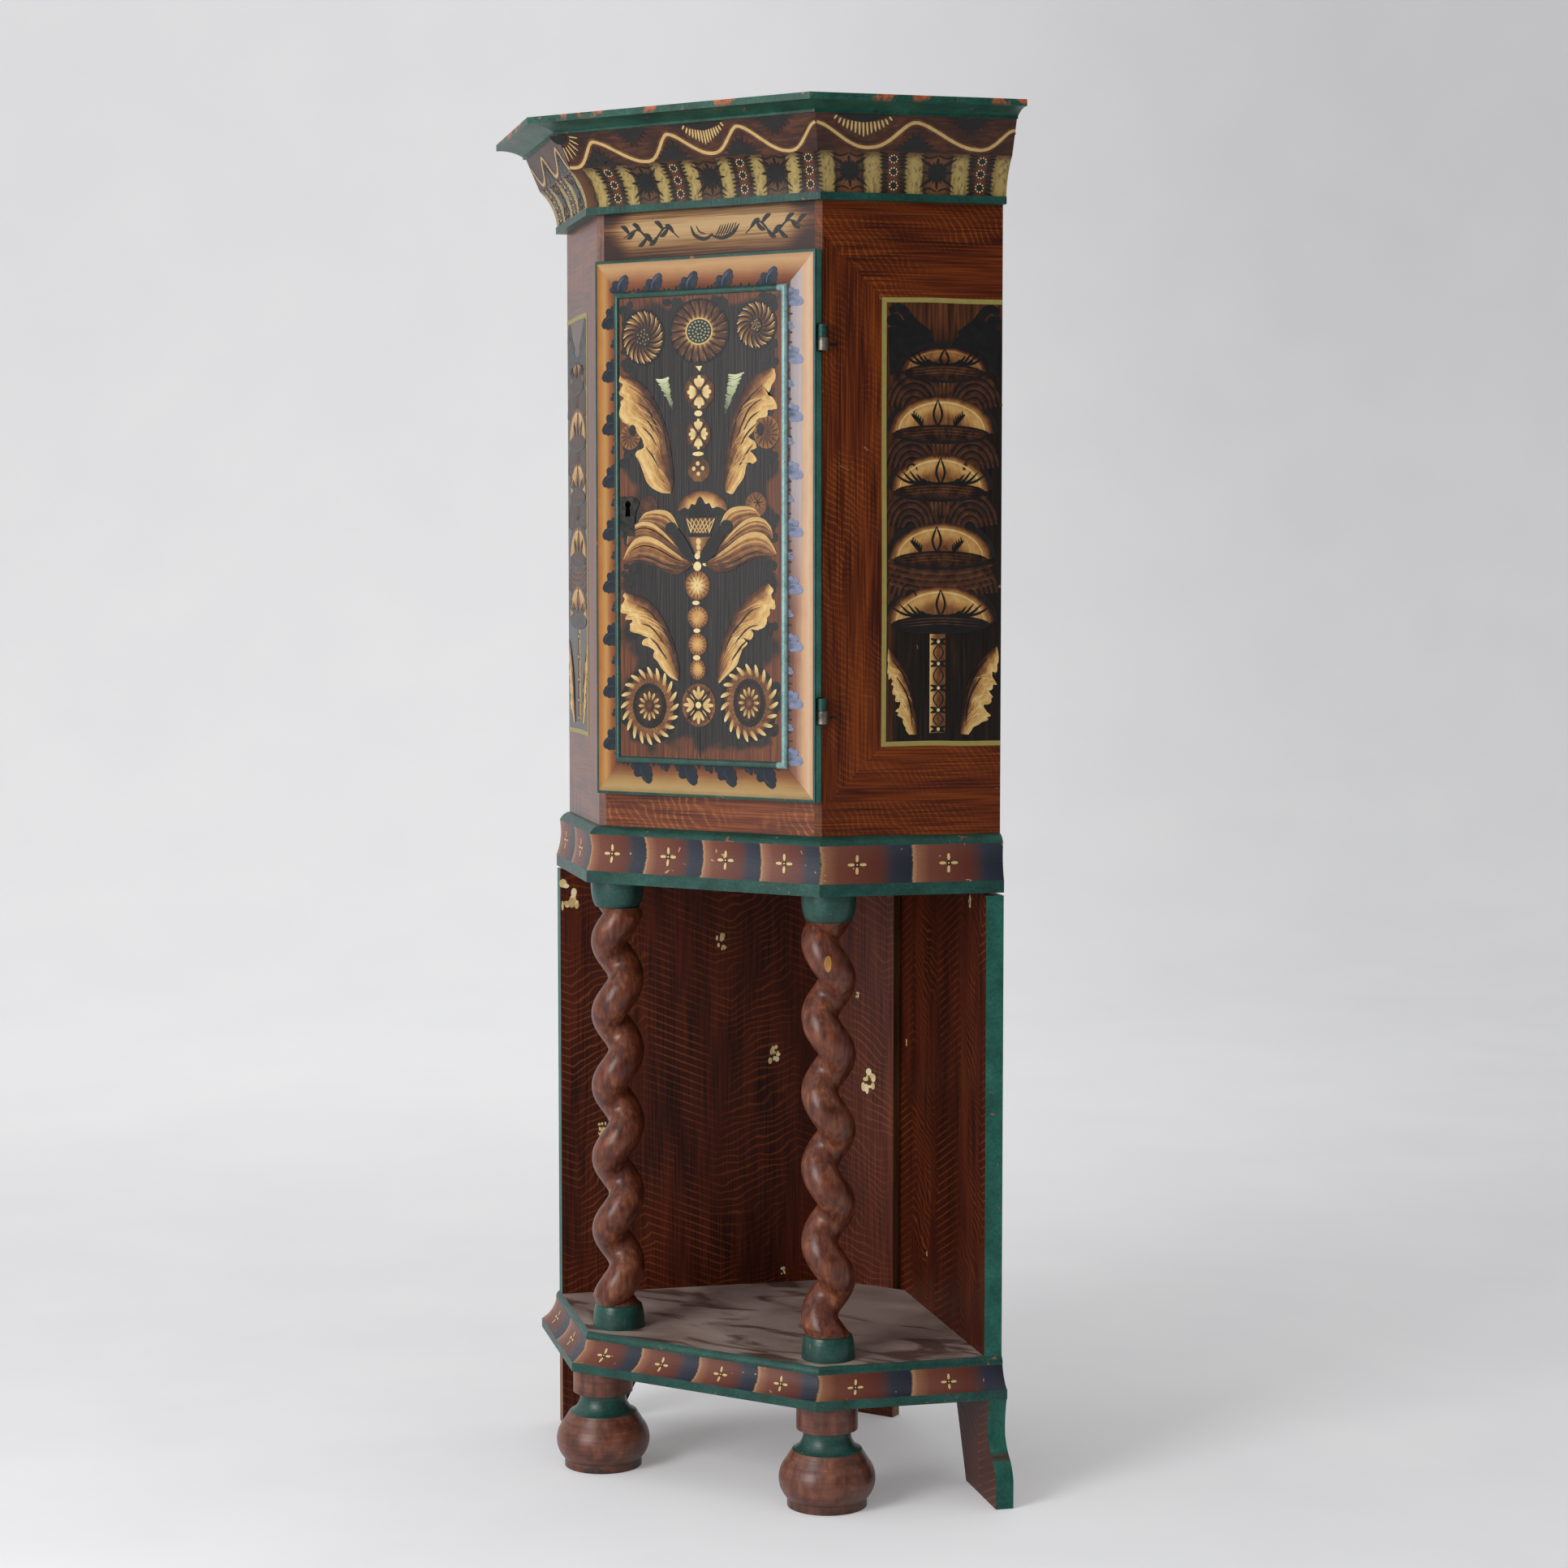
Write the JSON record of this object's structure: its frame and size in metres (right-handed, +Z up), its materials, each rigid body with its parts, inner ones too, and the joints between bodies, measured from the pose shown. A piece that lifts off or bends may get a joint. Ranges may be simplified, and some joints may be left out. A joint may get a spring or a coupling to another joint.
{
  "type": "corner cabinet",
  "caption": "Painted corner cupboard with a hinged, locking door and moulded cornice, on an open stand with twisted columns, a low shelf and turned feet.",
  "frame": {"origin": "on the floor, under the middle of the overall box", "axes": "+Z up, -Y towards the front with the door, +X to the right seen from the front"},
  "size_m": [0.8698, 0.5904, 1.9],
  "materials": {
    "panel_brown": "worn oil paint, red-brown with brushed graining",
    "niche_brown": "worn oil paint, dark red-brown graining",
    "shelf_brown": "dusty worn brown paint",
    "moulding_green": "worn blue-green oil paint",
    "cove_brown": "worn oil paint",
    "frieze_brown": "worn oil paint",
    "crown_green": "worn blue-green oil paint",
    "column_red_brown": "worn red-brown oil paint",
    "foot_brown": "worn brown paint, rubbed through",
    "bare_pine": "old bare softwood",
    "door_green": "worn blue-green oil paint on the edge",
    "frame_tan": "worn tan oil paint",
    "bead_green": "worn blue-green oil paint",
    "field_dark": "near-black worn oil paint",
    "iron": "dark forged iron"
  },
  "bodies": {
    "cabinet": {"side_panel_left": "panel_brown", "side_panel_right": "panel_brown", "top_rail": "panel_brown", "bottom_rail": "panel_brown", "stand_wall_left": "niche_brown", "stand_wall_right": "niche_brown", "stand_back_post": "niche_brown", "stand_shelf": "shelf_brown", "shelf_moulding_front": "moulding_green", "shelf_moulding_left": "moulding_green", "shelf_moulding_right": "moulding_green", "base_moulding_front": "moulding_green", "base_moulding_left": "moulding_green", "base_moulding_right": "moulding_green", "cove_front": "cove_brown", "cove_left": "cove_brown", "cove_right": "cove_brown", "frieze_front": "frieze_brown", "frieze_left": "frieze_brown", "frieze_right": "frieze_brown", "crown_front": "crown_green", "crown_left": "crown_green", "crown_right": "crown_green", "column_left": "column_red_brown", "column_right": "column_red_brown", "foot_left": "foot_brown", "foot_right": "foot_brown", "base_board": "bare_pine", "cupboard_wall_left": "bare_pine", "cupboard_wall_right": "bare_pine", "cupboard_back_post": "bare_pine", "cupboard_floor": "bare_pine", "cupboard_top": "bare_pine", "inner_shelf_lower": "bare_pine", "inner_shelf_upper": "bare_pine", "inner_shelf_cleats": "bare_pine", "stand_shelf_cleats": "bare_pine", "corner_block_left": "bare_pine", "corner_block_right": "bare_pine", "lock_keep": "iron", "hinge_pins": "iron", "hinge_nails_frame": "iron", "hinge_upper_frame_leaf": "iron", "hinge_lower_frame_leaf": "iron"},
    "door": {"door_board": "door_green", "door_frame_top": "frame_tan", "door_frame_bottom": "frame_tan", "door_frame_left": "frame_tan", "door_frame_right": "frame_tan", "field_bead": "bead_green", "door_field": "field_dark", "keyhole_plate": "iron", "door_batten_lower": "bare_pine", "door_batten_upper": "bare_pine", "hinge_upper_door_leaf": "iron", "hinge_lower_door_leaf": "iron", "hinge_nails_door": "iron", "lock_case": "iron"},
    "lock_bolt": {"lock_bolt": "iron"}
  },
  "joints": [
    {"name": "door_hinge", "type": "hinge", "parent": "cabinet", "child": "door", "pos_m": [0.18764, -0.19825, 1.3], "axis": [0, 0, 1], "range_deg": [0, 190]},
    {"name": "lock_bolt_slide", "type": "slide", "parent": "door", "child": "lock_bolt", "axis": [-1, 0, 0], "range_m": [0, 0.013]}
  ]
}
